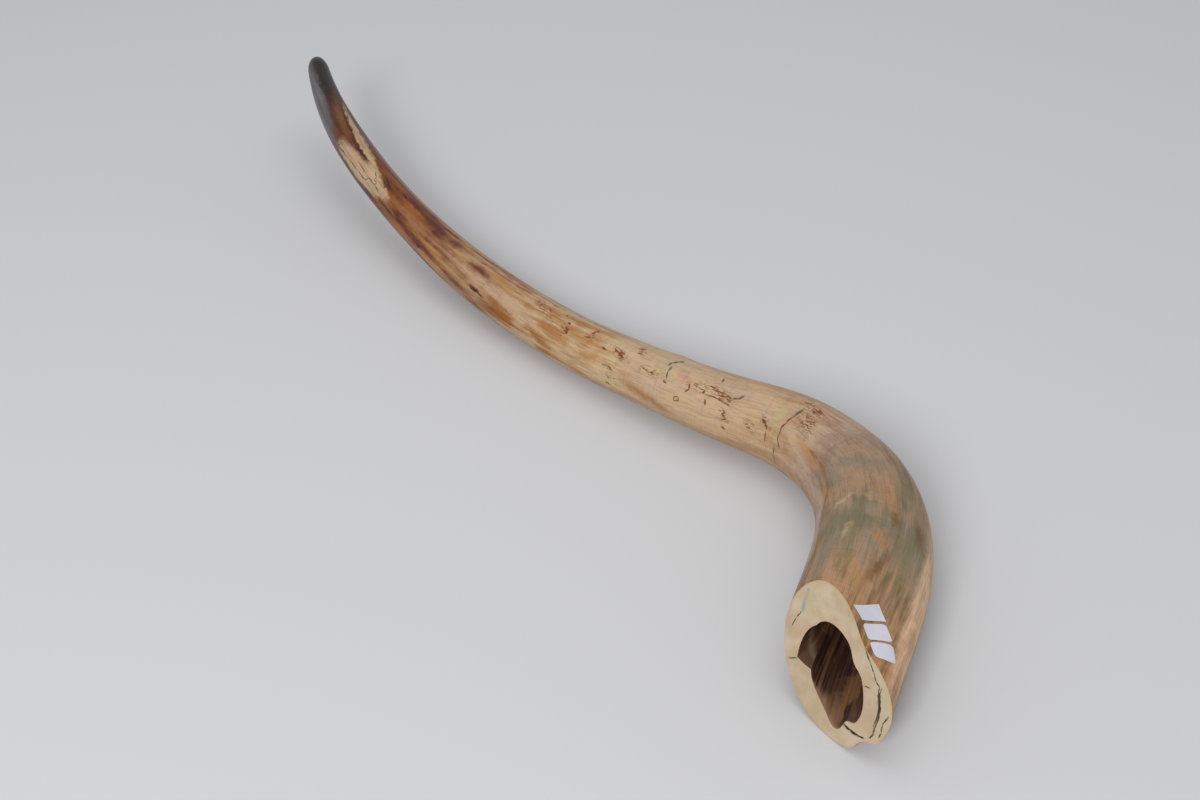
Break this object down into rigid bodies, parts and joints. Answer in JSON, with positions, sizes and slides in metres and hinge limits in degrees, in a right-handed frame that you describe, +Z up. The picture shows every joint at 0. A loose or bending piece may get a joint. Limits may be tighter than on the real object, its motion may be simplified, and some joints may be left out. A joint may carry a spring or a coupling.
{
  "type": "mammoth tusk",
  "caption": "Curved ivory tusk lying on a surface, with an obliquely sawn base, an open pulp cavity, a worn dark tip and small blank papers stuck beside the cut.",
  "frame": {"origin": "middle of the bounding box in plan, at the height of the surface the tusk lies on", "axes": "+Z up from that surface, +Y along the bounding box's longest side, from the sawn base towards the tip, +X towards the side the sawn base lies on"},
  "size_m": [0.5896, 0.937, 0.0965],
  "materials": {
    "ivory": "aged ivory: cream and brown with grey-green patina near the base, red-brown towards a black tip, smooth and slightly waxy",
    "paper": "matt white paper"
  },
  "bodies": {
    "root": {"tusk": "ivory", "label_top": "paper", "label_middle": "paper", "label_bottom": "paper"}
  },
  "joints": []
}
